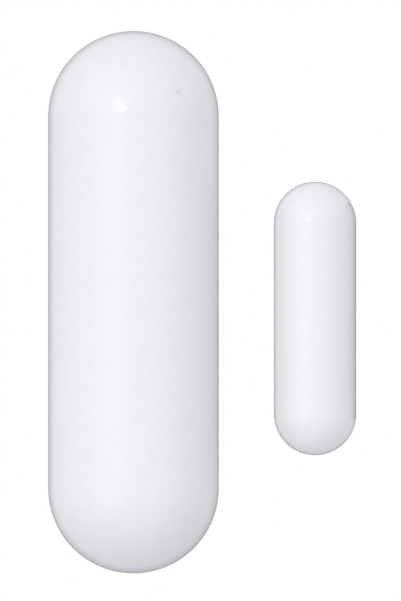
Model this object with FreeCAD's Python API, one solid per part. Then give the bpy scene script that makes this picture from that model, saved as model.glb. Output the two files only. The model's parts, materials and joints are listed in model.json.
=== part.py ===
import FreeCAD, Part
import math
import os

# Wireless door contact: a pill-shaped sensor and a smaller magnet unit beside it.
# All lengths are in millimetres.
# Each piece is drawn lying on its back: X across, Y along the unit, Z away from the wall.
# stand() then turns it upright, so that the front faces -Y and the wall is the plane Y = 0.
# The origin is the centre of the sensor's rear face.

# Overall sizes of the two units
sensor_length = 76.3
sensor_width = 24.0
magnet_unit_length = 38.6
magnet_unit_width = 11.6
unit_gap = 7.8
magnet_drop = 2.3

# Foam pads
pad_thickness = 1.1
pad_recess = 0.3
pad_side_gap = 0.2
sensor_pad_length = 36.0
sensor_pad_width = 14.0
magnet_pad_length = 18.0
magnet_pad_width = 7.0

# Sensor housing
sensor_wall = 1.6
sensor_floor = 1.8
rear_fillet = 0.6
rim_height = 2.4
rim_chamfer = 0.2
shadow_line = 0.3
tongue_height = 1.8
tongue_thickness = 0.7
tongue_gap = 0.1
tongue_end_gap = 0.3
snap_reach = 0.25
snap_half_height = 0.45
snap_crest_share = 1 / 3
snap_length = 8.0
snap_end_gap = 2.15
pry_width = 6.0
pry_height = 1.2
pry_depth = 0.7
mark_radius = 0.7
mark_depth = 0.35

# Screw seats of the sensor
screw_hole_radius = 1.75
screw_head_radius = 2.6
screw_boss_radius = 3.9
screw_boss_height = 0.8
boss_end_gap = 0.25
head_gap = 0.3

# Battery and its contacts
battery_diameter = 15.6
battery_length = 27.0
battery_edge = 0.5
crimp_depth = 0.5
crimp_from_top = 2.0
terminal_radius = 3.2
terminal_height = 0.8
terminal_edge = 0.2
battery_floor_gap = 0.3
battery_cover_gap = 0.4
contact_rib = 1.0
contact_rib_half_width = 5.2
contact_rib_rise = 4.5
gusset_reach = 2.0
gusset_height = 7.0
contact_lip = 0.9
contact_thickness = 0.4
contact_half_width = 4.0
contact_side_gap = 0.2
spring_reach = 2.2
leaf_half_width = 1.6
leaf_thickness = 0.3
leaf_half_span = 4.2
leaf_gap = 0.05
strap_height = 1.8
strap_wall_gap = 0.6
strap_tab = 2.0
tail_half_width = 0.9
tail_length = 1.1
tail_gap = 0.25

# Saddles under the battery and ribs over it
saddle_thickness = 1.5
saddle_inset = 4.5
saddle_rise = 5.4
saddle_gap = 0.1
saddle_side_gap = 0.3
retainer_thickness = 1.2
retainer_gap = 0.3
retainer_drop = 6.0

# Circuit board
board_thickness = 1.0
board_wall_gap = 0.4
board_gap = 0.4
board_edge_margin = 1.5
board_corner = 0.8
finger_battery_gap = 0.5
finger_overhang = 3.5
post_radius = 1.6
finger_post_radius = 0.8
post_edge_inset = 2.8
post_end_inset = 2.6
pin_radius = 0.7
pin_height = 0.3
pin_gap = 0.05

# Board screws
board_screw_radius = 0.9
board_screw_head_radius = 1.7
board_screw_head_height = 1.2
board_screw_chamfer = 0.4
board_screw_reach = 3.0
board_screw_gap = 0.05
board_screw_end_gap = 0.3
drive_slot_width = 0.4
drive_slot_half_length = 1.0
drive_slot_depth = 0.6

# Reed switch behind the board's finger
reed_radius = 1.0
reed_glass_length = 14.0
reed_glass_wall = 0.25
reed_board_gap = 0.1
reed_wall_gap = 1.0
reed_lead_radius = 0.25
reed_lead_gap = 0.02
reed_lead_reach = 2.2
reed_lead_bend = 0.5
blade_half_width = 0.45
blade_thickness = 0.15
blade_overlap = 1.2
blade_root = 0.45
blade_air_gap = 0.12
blade_end_gap = 1.3

# Helical antenna
antenna_wire_radius = 0.4
antenna_coil_radius = 2.1
antenna_pitch = 2.0
antenna_turns = 5
antenna_board_gap = 1.2
antenna_edge_gap = 1.1
antenna_start = 4.4

# Parts on the board
row_gap = 1.4
part_gap = 0.6
chip_chamfer = 0.15
dimple_radius = 0.3
dimple_depth = 0.1
dimple_inset = 0.8
radio_size = 4.0
radio_height = 0.9
controller_size = 5.0
controller_height = 1.1
controller_body_lift = 0.1
controller_leads = 6
lead_pitch = 0.65
lead_width = 0.3
lead_thickness = 0.15
lead_reach = 0.5
crystal_length = 3.2
crystal_width = 2.5
crystal_height = 0.8
crystal_corner = 0.4
bulk_length = 3.5
bulk_width = 2.8
bulk_height = 1.9
bulk_radio_gap = 1.6
chip_length = 1.6
chip_width = 0.8
capacitor_height = 0.8
resistor_height = 0.45
chip_count = 4
chip_pitch = 2.0
chip_start = 4.6
chip_column_offset = 1.8

# Status light
led_size = 1.6
led_height = 0.7
led_body_height = 0.35
led_lens_radius = 0.6
guide_radius = 1.5
guide_flange_radius = 2.2
guide_flange_height = 0.8
guide_led_gap = 0.4
guide_leg_radius = 0.45
guide_leg_offset = 1.6
guide_tip_chamfer = 0.4
pocket_radius = 1.9
pocket_wall = 0.8
pocket_gap = 0.3

# Tamper switch
tamper_body_size = 6.0
tamper_body_height = 5.2
tamper_body_corner = 0.5
tamper_pin_radius = 1.3
tamper_collar_radius = 1.75
tamper_collar_height = 0.7
tamper_stub_radius = 0.75
tamper_stub_height = 1.2
tamper_travel = 1.2
tamper_stop_gap = 0.1
tamper_slide_gap = 0.06
tamper_board_gap = 0.3
tamper_guide_wall = 1.3
tamper_guide_gap = 0.3
tamper_roof = 0.8
tamper_tip_chamfer = 0.4
tamper_spring_wire = 0.15
tamper_spring_turns = 3
tamper_spring_gap = 0.03

# The section of coiled wire has this many flat sides
coil_sides = 6

# Magnet unit housing
magnet_wall = 1.3
magnet_floor = 1.2
magnet_rim_height = 0.6
magnet_tongue_height = 1.2
magnet_tongue_thickness = 0.55
magnet_snap_reach = 0.2
magnet_snap_half_height = 0.35
magnet_snap_length = 5.0
magnet_snap_end_gap = 4.0
magnet_screw_radius = 1.4
magnet_screw_head_radius = 2.4
magnet_boss_radius = 3.1
magnet_boss_height = 0.5
magnet_boss_end_gap = 0.2

# Bar magnet and its cradle
bar_length = 20.0
bar_width = 5.0
bar_height = 5.0
bar_chamfer = 0.3
bar_seat = 0.3
bar_cover_gap = 0.2
cradle_gap = 0.1
cradle_thickness = 0.8
cradle_height = 2.0
cradle_offset = 6.0
cradle_length = 3.0

# Depths from the wall, sensor
base_rear = pad_thickness - pad_recess
floor_top = base_rear + sensor_floor
parting = floor_top + rim_height
cover_rim = parting + shadow_line
tongue_top = parting + tongue_height
rebate_top = tongue_top + tongue_end_gap
board_rear = parting
board_front = board_rear + board_thickness
battery_radius = battery_diameter / 2
battery_axis = floor_top + battery_floor_gap + battery_radius
inner_top = battery_axis + battery_radius + battery_cover_gap

# Outline radii, sensor
sensor_radius = sensor_width / 2
sensor_run = sensor_length / 2 - sensor_radius
inner_radius = sensor_radius - sensor_wall
board_radius = inner_radius - board_wall_gap
dome_depth = inner_top - inner_radius
snap_offset = sensor_run - snap_end_gap - snap_length / 2
snap_depth = (cover_rim + tongue_top) / 2

# Places along the sensor, from its lower end to its upper end
half_length = sensor_length / 2
screw_y = half_length - sensor_wall - boss_end_gap - screw_boss_radius
lower_rib_y = -screw_y + screw_head_radius + head_gap
lower_plate_y = lower_rib_y + contact_rib
battery_bottom = lower_plate_y + contact_thickness + spring_reach
battery_top = battery_bottom + battery_length
upper_rib_y = battery_top + contact_thickness
board_bottom = upper_rib_y + contact_rib + board_gap
board_top = screw_y - screw_head_radius - head_gap

# Places on the board
post_x = board_radius - post_edge_inset
upper_post_y = board_top - post_end_inset
left_post_y = board_bottom + post_end_inset
radio_y = board_bottom + board_edge_margin + radio_size / 2
guide_y = radio_y + radio_size / 2 + row_gap + guide_flange_radius
tamper_y = board_top - board_edge_margin - tamper_body_size / 2
bulk_x = radio_size / 2 + bulk_radio_gap + bulk_width / 2
bulk_y = board_bottom + board_edge_margin + bulk_length / 2
antenna_outer = antenna_coil_radius + antenna_wire_radius
antenna_x = -(board_radius - antenna_edge_gap - antenna_outer)
reed_x = inner_radius - reed_wall_gap - reed_radius
reed_y = -magnet_drop
reed_depth = board_rear - reed_board_gap - reed_radius
lead_end = reed_glass_length / 2 + reed_lead_reach
screw_above_bulk = bulk_y + bulk_length / 2 + part_gap + board_screw_head_radius
screw_above_lead = reed_y + lead_end + part_gap + board_screw_head_radius
right_post_y = max(screw_above_bulk, screw_above_lead)
controller_x = guide_flange_radius + 2 * part_gap + controller_size / 2
controller_y = right_post_y + board_screw_head_radius + part_gap + controller_size / 2
crystal_y = upper_post_y - board_screw_head_radius - part_gap - crystal_width / 2
battery_drop = battery_axis - board_front
finger_x = math.sqrt(battery_radius ** 2 - battery_drop ** 2) + finger_battery_gap
finger_bottom = reed_y - lead_end - finger_overhang
strap_x = inner_radius - strap_wall_gap

# Tamper depths, with the plunger pressed flush by the wall
collar_rear = board_front + tamper_stop_gap + tamper_travel
collar_front = collar_rear + tamper_collar_height
chamber_top = board_front + tamper_body_height - tamper_roof

# Magnet unit
magnet_radius = magnet_unit_width / 2
magnet_run = magnet_unit_length / 2 - magnet_radius
magnet_inner_radius = magnet_radius - magnet_wall
magnet_snap_offset = magnet_run - magnet_snap_end_gap - magnet_snap_length / 2
magnet_floor_top = base_rear + magnet_floor
magnet_parting = magnet_floor_top + magnet_rim_height
magnet_cover_rim = magnet_parting + shadow_line
magnet_tongue_top = magnet_parting + magnet_tongue_height
magnet_snap_depth = (magnet_cover_rim + magnet_tongue_top) / 2
bar_rear = magnet_floor_top + bar_seat
bar_front = bar_rear + bar_height
bar_corner_reach = magnet_inner_radius - bar_cover_gap
magnet_dome_depth = bar_front - math.sqrt(bar_corner_reach ** 2 - (bar_width / 2) ** 2)
magnet_screw_y = magnet_unit_length / 2 - magnet_wall - magnet_boss_end_gap - magnet_boss_radius
magnet_x = sensor_radius + unit_gap + magnet_radius

# A cut reaches this far past the face that it opens
past = 1.0

# Depths and directions that differ by less than this are the same
tolerance = 1e-6


def vec(x, y, z):
    return FreeCAD.Vector(x, y, z)


def block(x0, x1, y0, y1, z0, z1):
    return Part.makeBox(x1 - x0, y1 - y0, z1 - z0, vec(x0, y0, z0))


def post(x, y, z0, z1, radius):
    return Part.makeCylinder(radius, z1 - z0, vec(x, y, z0), vec(0, 0, 1))


def bar_along(x, z, y0, y1, radius):
    return Part.makeCylinder(radius, y1 - y0, vec(x, y0, z), vec(0, 1, 0))


def edges_at(shape, depth):
    """The edges that lie wholly at one depth from the wall."""
    found = []
    for edge in shape.Edges:
        bounds = edge.BoundBox
        if abs(bounds.ZMin - depth) < tolerance and abs(bounds.ZMax - depth) < tolerance:
            found.append(edge)
    return found


def upright_edges(shape):
    """The straight edges that run away from the wall."""
    found = []
    for edge in shape.Edges:
        direction = edge.tangentAt(edge.FirstParameter)
        if isinstance(edge.Curve, Part.Line) and abs(direction.z) > 1 - tolerance:
            found.append(edge)
    return found


def pill(radius, run, z0, z1):
    """A pill outline with semicircular ends, run each way from its middle, from z0 to z1."""
    right = Part.LineSegment(vec(radius, -run, z0), vec(radius, run, z0))
    top = Part.Arc(vec(radius, run, z0), vec(0, run + radius, z0), vec(-radius, run, z0))
    left = Part.LineSegment(vec(-radius, run, z0), vec(-radius, -run, z0))
    bottom = Part.Arc(vec(-radius, -run, z0), vec(0, -run - radius, z0), vec(radius, -run, z0))
    outline = Part.Wire([line.toShape() for line in (right, top, left, bottom)])
    return Part.Face(outline).extrude(vec(0, 0, z1 - z0))


def domed_pill(radius, run, z0, flank):
    """A pill with straight flanks up to one depth, then a full-round front and ball-shaped ends."""
    crown = vec(0, 0, flank + radius)
    side = vec(radius, 0, flank)
    slant = radius * math.sqrt(0.5)
    quarter = Part.Arc(side, vec(slant, 0, flank + slant), crown).toShape()
    foot = Part.makePolygon([crown, vec(0, 0, z0), vec(radius, 0, z0), side])
    half_section = Part.Face(Part.Wire([quarter] + foot.Edges))
    upper_end = half_section.revolve(vec(0, 0, 0), vec(0, 0, 1), 180)
    upper_end.translate(vec(0, run, 0))
    lower_end = half_section.revolve(vec(0, 0, 0), vec(0, 0, 1), -180)
    lower_end.translate(vec(0, -run, 0))
    arch = Part.Arc(side, crown, vec(-radius, 0, flank)).toShape()
    base_line = Part.makePolygon([vec(-radius, 0, flank), vec(-radius, 0, z0), vec(radius, 0, z0), side])
    section = Part.Face(Part.Wire([arch] + base_line.Edges))
    section.translate(vec(0, -run, 0))
    middle = section.extrude(vec(0, 2 * run, 0))
    return middle.fuse([upper_end, lower_end]).removeSplitter()


def countersunk_hole(y, hole_radius, head_radius, rear, seat):
    """The tool for a screw hole through the floor, with a cone for the head at its seat."""
    hole = post(0, y, rear - past, seat + past, hole_radius)
    cone_start = seat - (head_radius - hole_radius)
    cone = Part.makeCone(hole_radius, head_radius, seat - cone_start, vec(0, y, cone_start), vec(0, 0, 1))
    return hole.fuse([cone, post(0, y, seat, seat + past, head_radius)])


def snap_ridge(side, face, reach, half_height, y, length, depth):
    """A ridge on a flank, or the tool for its groove; side is 1 on the right and -1 on the left."""
    crest = half_height * snap_crest_share
    root = face - tongue_gap
    corners = [
        (root, depth - half_height),
        (face, depth - half_height),
        (face + reach, depth - crest),
        (face + reach, depth + crest),
        (face, depth + half_height),
        (root, depth + half_height),
    ]
    points = [vec(side * x, y - length / 2, z) for x, z in corners]
    return Part.Face(Part.makePolygon(points + points[:1])).extrude(vec(0, length, 0))


def snap_ridges(face, reach, half_height, offset, length, depth):
    ridges = []
    for side in (-1, 1):
        for y in (-offset, offset):
            ridges.append(snap_ridge(side, face, reach, half_height, y, length, depth))
    return ridges


def tray(radius, run, wall, floor, rim, tongue_rise, tongue_wall):
    """A shallow base: floor, rim and the tongue that stands inside the cover's rim."""
    top = base_rear + floor + rim
    body = pill(radius, run, base_rear, top)
    body = body.makeFillet(rear_fillet, edges_at(body, base_rear))
    body = body.makeChamfer(rim_chamfer, edges_at(body, top))
    inside = radius - wall
    tongue = pill(inside + tongue_wall, run, base_rear + floor, top + tongue_rise)
    hollow = pill(inside, run, base_rear + floor, top + tongue_rise)
    return body.fuse(tongue).cut(hollow)


def cover_shell(radius, run, wall, rim, flank, tongue_outer, rebate):
    """A full-round shell with a rebate inside its rim for the base's tongue."""
    outer = domed_pill(radius, run, rim, flank)
    outer = outer.makeChamfer(rim_chamfer, edges_at(outer, rim))
    inner = domed_pill(radius - wall, run, rim - past, flank)
    seat = pill(tongue_outer + tongue_gap, run, rim - past, rebate)
    return outer.cut([inner, seat])


def alignment_mark(face, y, z0, z1):
    """The tool for the small groove that shows which flanks have to face each other."""
    centre = face + math.copysign(mark_radius - mark_depth, face)
    return post(centre, y, z0, z1, mark_radius)


def saddle(y, right_limit):
    """A cross rib of the base with a round seat for the battery."""
    rib = block(
        -strap_x + contact_thickness + saddle_side_gap,
        right_limit,
        y,
        y + saddle_thickness,
        floor_top,
        floor_top + saddle_rise,
    )
    seat = bar_along(0, battery_axis, y - past, y + saddle_thickness + past, battery_radius + saddle_gap)
    return rib.cut(seat)


def contact_holder(y, inward, left_foot):
    """An upright rib with two lips for a contact plate; inward is the way to the battery."""
    top = battery_axis + contact_rib_rise
    rib = block(-contact_rib_half_width, contact_rib_half_width, y, y + contact_rib, floor_top, top)
    face = y + contact_rib if inward > 0 else y
    lips = []
    for side, foot in ((-1, left_foot), (1, floor_top)):
        edge = side * (contact_half_width + contact_side_gap)
        outer = side * contact_rib_half_width
        reach = face + inward * contact_lip
        lip = block(min(edge, outer), max(edge, outer), min(face, reach), max(face, reach), foot, top)
        lips.append(lip)
    return rib.fuse(lips)


def gusset(x, y, thickness):
    """A triangular stay on the floor behind the lower contact rib."""
    corners = [(y, floor_top), (y - gusset_reach, floor_top), (y, floor_top + gusset_height)]
    points = [vec(x, along, depth) for along, depth in corners]
    return Part.Face(Part.makePolygon(points + points[:1])).extrude(vec(thickness, 0, 0))


def sensor_base():
    base = tray(
        sensor_radius, sensor_run, sensor_wall, sensor_floor, rim_height, tongue_height, tongue_thickness
    )
    screw_seat = floor_top + screw_boss_height
    lower_right_limit = strap_x - contact_thickness - saddle_side_gap
    upper_right_limit = min(finger_x, reed_x - reed_radius) - saddle_side_gap
    guide_outer = tamper_pin_radius + tamper_guide_wall
    added = [
        saddle(battery_bottom + saddle_inset, lower_right_limit),
        saddle(battery_top - saddle_inset - saddle_thickness, upper_right_limit),
        contact_holder(lower_rib_y, 1, floor_top + strap_height + contact_side_gap),
        contact_holder(upper_rib_y, -1, floor_top),
        post(0, tamper_y, floor_top, board_rear - tamper_guide_gap, guide_outer),
        post(reed_x, finger_bottom + post_radius, floor_top, board_rear, finger_post_radius),
        gusset(-contact_rib_half_width, lower_rib_y, contact_rib),
        gusset(contact_rib_half_width - contact_rib, lower_rib_y, contact_rib),
    ]
    for y in (-screw_y, screw_y):
        added.append(post(0, y, floor_top, screw_seat, screw_boss_radius))
    for x, y in board_screw_places() + board_pin_places():
        added.append(post(x, y, floor_top, board_rear, post_radius))
    for x, y in board_pin_places():
        added.append(post(x, y, board_rear, board_front + pin_height, pin_radius))
    face = inner_radius + tongue_thickness
    added += snap_ridges(face, snap_reach, snap_half_height, snap_offset, snap_length, snap_depth)
    base = base.fuse(added).removeSplitter()

    bore_end = board_front - board_screw_reach - board_screw_end_gap
    tail_notch = block(
        -tail_half_width - tail_gap,
        tail_half_width + tail_gap,
        upper_rib_y - past,
        upper_rib_y + contact_rib + past,
        board_front - tail_gap,
        board_front + contact_thickness + tail_gap,
    )
    removed = [
        post(0, tamper_y, base_rear - past, board_rear, tamper_pin_radius + tamper_slide_gap),
        pill(
            sensor_pad_width / 2 + pad_side_gap,
            (sensor_pad_length - sensor_pad_width) / 2,
            base_rear - past,
            pad_thickness,
        ),
        tail_notch,
    ]
    for y in (-screw_y, screw_y):
        removed.append(countersunk_hole(y, screw_hole_radius, screw_head_radius, base_rear, screw_seat))
    for x, y in board_screw_places():
        removed.append(post(x, y, bore_end, board_rear + past, board_screw_radius + board_screw_gap))
    return base.cut(removed)


def board_screw_places():
    return [(-post_x, upper_post_y), (post_x, right_post_y)]


def board_pin_places():
    return [(post_x, upper_post_y), (-post_x, left_post_y)]


def sensor_front_cover():
    tongue_outer = inner_radius + tongue_thickness
    cover = cover_shell(
        sensor_radius, sensor_run, sensor_wall, cover_rim, dome_depth, tongue_outer, rebate_top
    )
    cavity = domed_pill(inner_radius, sensor_run, floor_top, dome_depth)
    ribs = []
    lower_rib = battery_bottom + saddle_inset
    upper_rib = battery_top - saddle_inset - retainer_thickness
    for y in (lower_rib, upper_rib):
        slab = block(
            -sensor_radius,
            sensor_radius,
            y,
            y + retainer_thickness,
            inner_top - retainer_drop,
            inner_top + past,
        )
        seat = bar_along(
            0, battery_axis, y - past, y + retainer_thickness + past, battery_radius + retainer_gap
        )
        ribs.append(slab.common(cavity).cut(seat))
    cover = cover.fuse(ribs).removeSplitter()

    grooves = snap_ridges(
        tongue_outer + tongue_gap,
        snap_reach,
        snap_half_height + tongue_gap,
        snap_offset,
        snap_length + 2 * tongue_gap,
        snap_depth,
    )
    pocket = post(0, guide_y, dome_depth, inner_top + sensor_wall - pocket_wall, pocket_radius)
    pry_slot = block(
        -pry_width / 2,
        pry_width / 2,
        -half_length - past,
        -half_length + pry_depth,
        cover_rim - past,
        cover_rim + pry_height,
    )
    mark = alignment_mark(sensor_radius, reed_y, cover_rim - past, dome_depth)
    return cover.cut(grooves + [pocket, pry_slot, mark])


def pad(length, width):
    return pill(width / 2, (length - width) / 2, 0, pad_thickness)


def circuit_board():
    outline = pill(board_radius, sensor_run, board_rear, board_front)
    main = block(-board_radius, board_radius, board_bottom, board_top, board_rear, board_front)
    finger = block(finger_x, board_radius, finger_bottom, board_bottom + past, board_rear, board_front)
    board = main.fuse(finger).removeSplitter()
    board = board.makeFillet(board_corner, upright_edges(board)).common(outline)
    holes = [post(0, tamper_y, board_rear - past, board_front + past, tamper_pin_radius + tamper_board_gap)]
    for x, y in board_screw_places():
        hole = post(x, y, board_rear - past, board_front + past, board_screw_radius + board_screw_gap)
        holes.append(hole)
    for x, y in board_pin_places():
        holes.append(post(x, y, board_rear - past, board_front + past, pin_radius + pin_gap))
    return board.cut(holes)


def board_screws():
    screws = []
    for x, y in board_screw_places():
        head_top = board_front + board_screw_head_height
        head = post(x, y, board_front, head_top, board_screw_head_radius)
        head = head.makeChamfer(board_screw_chamfer, edges_at(head, head_top))
        shank = post(x, y, board_front - board_screw_reach, board_front, board_screw_radius)
        slot_floor = head_top - drive_slot_depth
        across = block(
            x - drive_slot_half_length,
            x + drive_slot_half_length,
            y - drive_slot_width / 2,
            y + drive_slot_width / 2,
            slot_floor,
            head_top + past,
        )
        along = block(
            x - drive_slot_width / 2,
            x + drive_slot_width / 2,
            y - drive_slot_half_length,
            y + drive_slot_half_length,
            slot_floor,
            head_top + past,
        )
        screws.append(head.fuse(shank).cut([across, along]))
    return Part.makeCompound(screws)


def battery():
    """A rolled can with a crimp groove and a raised terminal, turned about its own axis."""
    body_top = battery_top - terminal_height
    crimp = body_top - crimp_from_top
    half_outline = [
        (0, battery_bottom),
        (battery_radius - battery_edge, battery_bottom),
        (battery_radius, battery_bottom + battery_edge),
        (battery_radius, crimp - crimp_depth),
        (battery_radius - crimp_depth, crimp),
        (battery_radius, crimp + crimp_depth),
        (battery_radius, body_top - battery_edge),
        (battery_radius - battery_edge, body_top),
        (terminal_radius, body_top),
        (terminal_radius, battery_top - terminal_edge),
        (terminal_radius - terminal_edge, battery_top),
        (0, battery_top),
    ]
    points = [vec(x, y, battery_axis) for x, y in half_outline]
    half_section = Part.Face(Part.makePolygon(points + points[:1]))
    return half_section.revolve(vec(0, 0, battery_axis), vec(0, 1, 0), 360)


def battery_contact_positive():
    """A plate between the battery's terminal and its rib, with a tail onto the board."""
    top = battery_axis + contact_rib_rise
    plate = block(-contact_half_width, contact_half_width, battery_top, upper_rib_y, floor_top, top)
    tail = block(
        -tail_half_width,
        tail_half_width,
        battery_top,
        board_bottom + tail_length,
        board_front,
        board_front + contact_thickness,
    )
    return plate.fuse(tail).removeSplitter()


def battery_contact_negative():
    """A plate with a bowed leaf, and a strap along the floor to the board's rear face."""
    front = lower_plate_y + contact_thickness
    top = battery_axis + contact_rib_rise
    plate = block(-contact_half_width, contact_half_width, lower_plate_y, front, floor_top, top)
    reach = battery_bottom - leaf_gap
    outer = Part.Arc(
        vec(0, lower_plate_y, battery_axis - leaf_half_span),
        vec(0, reach, battery_axis),
        vec(0, lower_plate_y, battery_axis + leaf_half_span),
    )
    inner_span = leaf_half_span - leaf_thickness
    inner = Part.Arc(
        vec(0, lower_plate_y, battery_axis + inner_span),
        vec(0, reach - leaf_thickness, battery_axis),
        vec(0, lower_plate_y, battery_axis - inner_span),
    )
    upper_end = Part.LineSegment(outer.EndPoint, inner.StartPoint)
    lower_end = Part.LineSegment(inner.EndPoint, outer.StartPoint)
    bow = Part.Face(Part.Wire([line.toShape() for line in (outer, upper_end, inner, lower_end)]))
    bow.translate(vec(-leaf_half_width, 0, 0))
    leaf = bow.extrude(vec(2 * leaf_half_width, 0, 0))
    foot = block(-strap_x, 0, lower_plate_y, front, floor_top, floor_top + strap_height)
    strap_end = board_bottom + strap_tab
    strap = block(
        -strap_x,
        -strap_x + contact_thickness,
        lower_plate_y,
        strap_end,
        floor_top,
        floor_top + strap_height,
    )
    tab = block(-strap_x, -strap_x + contact_thickness, board_bottom, strap_end, floor_top, board_rear)
    return plate.fuse([leaf, foot, strap, tab]).removeSplitter()


def reed_switch_glass():
    start = reed_y - reed_glass_length / 2
    end = reed_y + reed_glass_length / 2
    outer = bar_along(reed_x, reed_depth, start + reed_radius, end - reed_radius, reed_radius)
    bore = reed_radius - reed_glass_wall
    lead_bore = reed_lead_radius + reed_lead_gap
    tips = []
    voids = [
        bar_along(reed_x, reed_depth, start + reed_radius, end - reed_radius, bore),
        bar_along(reed_x, reed_depth, start - past, end + past, lead_bore),
    ]
    for y in (start + reed_radius, end - reed_radius):
        tips.append(Part.makeSphere(reed_radius, vec(reed_x, y, reed_depth)))
        voids.append(Part.makeSphere(bore, vec(reed_x, y, reed_depth)))
    return outer.fuse(tips).cut(voids)


def reed_half(side):
    """One lead and its flat blade; side is 1 for the upper one and -1 for the lower one."""
    tip = reed_glass_length / 2 - blade_end_gap
    straight_end = lead_end - reed_lead_bend
    corner = reed_lead_bend * (1 - math.sqrt(0.5))
    rise_end = board_rear - reed_depth
    along = Part.LineSegment(vec(0, tip, 0), vec(0, straight_end, 0))
    bend = Part.Arc(
        vec(0, straight_end, 0),
        vec(0, lead_end - corner, corner),
        vec(0, lead_end, reed_lead_bend),
    )
    rise = Part.LineSegment(vec(0, lead_end, reed_lead_bend), vec(0, lead_end, rise_end))
    path = Part.Wire([line.toShape() for line in (along, bend, rise)])
    ring = Part.Wire(Part.Circle(vec(0, tip, 0), vec(0, 1, 0), reed_lead_radius).toShape())
    lead = path.makePipeShell([ring], True, False)
    middle = side * (blade_air_gap + blade_thickness) / 2
    blade = block(
        -blade_half_width,
        blade_half_width,
        -blade_overlap / 2,
        tip + blade_root,
        middle - blade_thickness / 2,
        middle + blade_thickness / 2,
    )
    half = lead.fuse(blade)
    if side < 0:
        half = half.mirror(vec(0, 0, 0), vec(0, 1, 0))
    half.translate(vec(reed_x, reed_y, reed_depth))
    return half


def reed_switch_blades():
    return Part.makeCompound([reed_half(1), reed_half(-1)])


def wire_coil(radius, wire, pitch, turns):
    """A helix of wire that rises along Z from X = radius, with a section of flat sides."""
    helix = Part.makeHelix(pitch, pitch * turns, radius)
    edge = helix.Edges[0]
    centre = edge.valueAt(edge.FirstParameter)
    along = edge.tangentAt(edge.FirstParameter)
    outward = vec(1, 0, 0)
    upward = along.cross(outward)
    corners = []
    for number in range(coil_sides):
        angle = 2 * math.pi * number / coil_sides
        corners.append(centre + outward * (wire * math.cos(angle)) + upward * (wire * math.sin(angle)))
    section = Part.makePolygon(corners + corners[:1])
    return Part.Wire(helix.Edges).makePipeShell([section], True, True)


def helical_antenna():
    """A coil in front of the board, with one leg down to it."""
    depth = board_front + antenna_board_gap + antenna_outer
    start = board_bottom + antenna_start
    coil = wire_coil(antenna_coil_radius, antenna_wire_radius, antenna_pitch, antenna_turns)
    coil.rotate(vec(0, 0, 0), vec(0, 0, 1), 90)
    coil.rotate(vec(0, 0, 0), vec(1, 0, 0), -90)
    coil.translate(vec(antenna_x, start, depth))
    leg = post(antenna_x, start, board_front, depth - antenna_coil_radius, antenna_wire_radius)
    return coil.fuse(leg)


def chip(x, y, z, width, length, height):
    """A moulded chip with chamfered top edges and a dimple at its first corner."""
    body = block(x - width / 2, x + width / 2, y - length / 2, y + length / 2, z, z + height)
    body = body.makeChamfer(chip_chamfer, edges_at(body, z + height))
    corner_x = x - width / 2 + dimple_inset
    corner_y = y + length / 2 - dimple_inset
    return body.cut(post(corner_x, corner_y, z + height - dimple_depth, z + height + past, dimple_radius))


def radio_chip():
    return chip(0, radio_y, board_front, radio_size, radio_size, radio_height)


def microcontroller():
    """A chip with a row of bent leads along each side."""
    lift = board_front + controller_body_lift
    width = controller_size - 2 * lead_reach
    body = chip(controller_x, controller_y, lift, width, controller_size, controller_height)
    knee = board_front + controller_height / 2
    leads = []
    for side in (-1, 1):
        for number in range(controller_leads):
            y = controller_y + (number - (controller_leads - 1) / 2) * lead_pitch
            inner = side * (width / 2 - lead_thickness)
            outer = side * (width / 2 + lead_reach)
            elbow = side * (width / 2 + lead_reach / 2)
            heel = elbow - side * lead_thickness
            arm = lead_block(y, inner, elbow, knee, knee + lead_thickness)
            drop = lead_block(y, heel, elbow, board_front, knee + lead_thickness)
            foot = lead_block(y, heel, outer, board_front, board_front + lead_thickness)
            leads += [arm, drop, foot]
    return body.fuse(leads).removeSplitter()


def lead_block(y, x0, x1, z0, z1):
    near = min(x0, x1) + controller_x
    far = max(x0, x1) + controller_x
    return block(near, far, y - lead_width / 2, y + lead_width / 2, z0, z1)


def crystal():
    can = block(
        antenna_x - crystal_length / 2,
        antenna_x + crystal_length / 2,
        crystal_y - crystal_width / 2,
        crystal_y + crystal_width / 2,
        board_front,
        board_front + crystal_height,
    )
    can = can.makeFillet(crystal_corner, upright_edges(can))
    return can.makeChamfer(chip_chamfer, edges_at(can, board_front + crystal_height))


def bulk_capacitor():
    body = block(
        bulk_x - bulk_width / 2,
        bulk_x + bulk_width / 2,
        bulk_y - bulk_length / 2,
        bulk_y + bulk_length / 2,
        board_front,
        board_front + bulk_height,
    )
    return body.makeChamfer(chip_chamfer, edges_at(body, board_front + bulk_height))


def chip_row(x, height):
    """A column of equal small chips on the board."""
    pieces = []
    for number in range(chip_count):
        y = board_bottom + chip_start + number * chip_pitch
        piece = block(
            x - chip_width / 2,
            x + chip_width / 2,
            y - chip_length / 2,
            y + chip_length / 2,
            board_front,
            board_front + height,
        )
        pieces.append(piece)
    return Part.makeCompound(pieces)


def status_led():
    body = block(
        -led_size / 2,
        led_size / 2,
        guide_y - led_size / 2,
        guide_y + led_size / 2,
        board_front,
        board_front + led_body_height,
    )
    lens = post(0, guide_y, board_front, board_front + led_height, led_lens_radius)
    lens = lens.makeChamfer(chip_chamfer, edges_at(lens, board_front + led_height))
    return body.fuse(lens)


def light_guide():
    """A clear rod from over the light to a pocket in the cover, on two legs."""
    flange_rear = board_front + led_height + guide_led_gap
    flange = post(0, guide_y, flange_rear, flange_rear + guide_flange_height, guide_flange_radius)
    tip = inner_top + sensor_wall - pocket_wall - pocket_gap
    rod = post(0, guide_y, flange_rear, tip, guide_radius)
    rod = rod.makeChamfer(guide_tip_chamfer, edges_at(rod, tip))
    legs = []
    leg_top = flange_rear + guide_led_gap
    for x in (-guide_leg_offset, guide_leg_offset):
        legs.append(post(x, guide_y, board_front, leg_top, guide_leg_radius))
    return rod.fuse([flange] + legs)


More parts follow.
